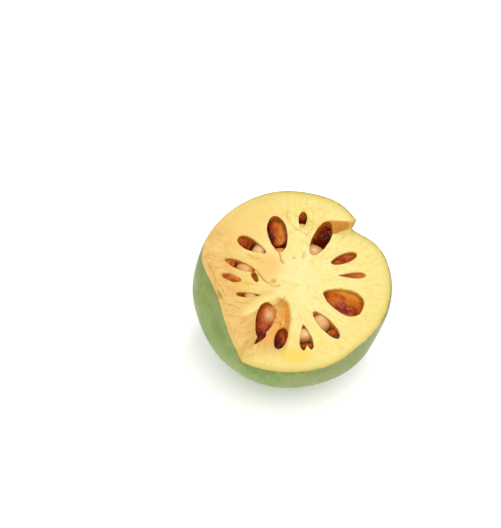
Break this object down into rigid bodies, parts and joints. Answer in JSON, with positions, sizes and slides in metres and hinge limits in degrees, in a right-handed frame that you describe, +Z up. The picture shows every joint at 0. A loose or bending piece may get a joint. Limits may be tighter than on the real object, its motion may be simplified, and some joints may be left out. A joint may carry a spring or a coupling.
{
  "type": "wood apple half",
  "caption": "Half of a wood apple, cut across and partly broken: green woody rind, cream pulp, open seed cells with amber gum and pale seeds.",
  "frame": {"origin": "centre of the flat resting spot under the fruit, on the floor", "axes": "+Z up; the cut face is tipped toward -Y and slightly toward +X; +X is to the right when the face is seen from the front; the flat resting spot faces -Z"},
  "size_m": [0.0798, 0.0798, 0.0602],
  "materials": {
    "rind": "smooth green woody rind with a pale bloom, golden on the far side, yellow where it is cut",
    "pulp": "moist cream-yellow pulp, tan and fibrous where broken",
    "gum": "glossy amber to dark red-brown gum",
    "seed": "pale tan, thinly coated with gum"
  },
  "bodies": {
    "root": {"rind": "rind", "pulp": "pulp", "gum_01": "gum", "gum_02": "gum", "gum_03": "gum", "gum_04": "gum", "gum_05": "gum", "gum_06": "gum", "gum_07": "gum", "gum_08": "gum", "gum_09": "gum", "gum_10": "gum", "gum_11": "gum", "gum_12": "gum", "gum_13": "gum", "gum_14": "gum", "gum_15": "gum", "seed_01": "seed", "seed_02": "seed", "seed_06": "seed", "seed_07": "seed", "seed_10": "seed", "seed_12": "seed", "seed_13": "seed", "seed_14": "seed"}
  },
  "joints": []
}
